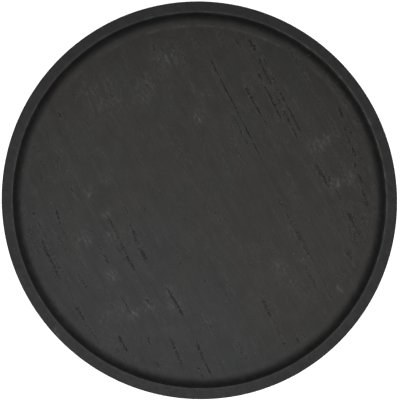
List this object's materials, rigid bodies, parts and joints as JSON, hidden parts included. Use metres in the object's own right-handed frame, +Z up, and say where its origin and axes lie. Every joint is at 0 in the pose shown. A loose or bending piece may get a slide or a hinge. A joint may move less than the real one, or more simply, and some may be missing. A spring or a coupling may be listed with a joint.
{
  "type": "serving tray",
  "caption": "Round black-stained wooden serving tray with a low upright rim and a hollow corner inside it, on small rubber feet.",
  "frame": {"origin": "at table height, under the middle of the tray", "axes": "+Z up out of the tray; +Y along the wood's grain; +X across the boards"},
  "size_m": [0.3466, 0.35, 0.03],
  "materials": {
    "stained_wood": "black stain under a thin matt oil, open pores",
    "black_rubber": "moulded matt black rubber",
    "zinc_steel": "bright zinc plating"
  },
  "bodies": {
    "root": {"board_left": "stained_wood", "board_centre": "stained_wood", "board_right": "stained_wood", "foot_front_left": "black_rubber", "foot_washer_front_left": "zinc_steel", "foot_screw_front_left": "zinc_steel", "foot_front_right": "black_rubber", "foot_washer_front_right": "zinc_steel", "foot_screw_front_right": "zinc_steel", "foot_back_left": "black_rubber", "foot_washer_back_left": "zinc_steel", "foot_screw_back_left": "zinc_steel", "foot_back_right": "black_rubber", "foot_washer_back_right": "zinc_steel", "foot_screw_back_right": "zinc_steel"}
  },
  "joints": []
}
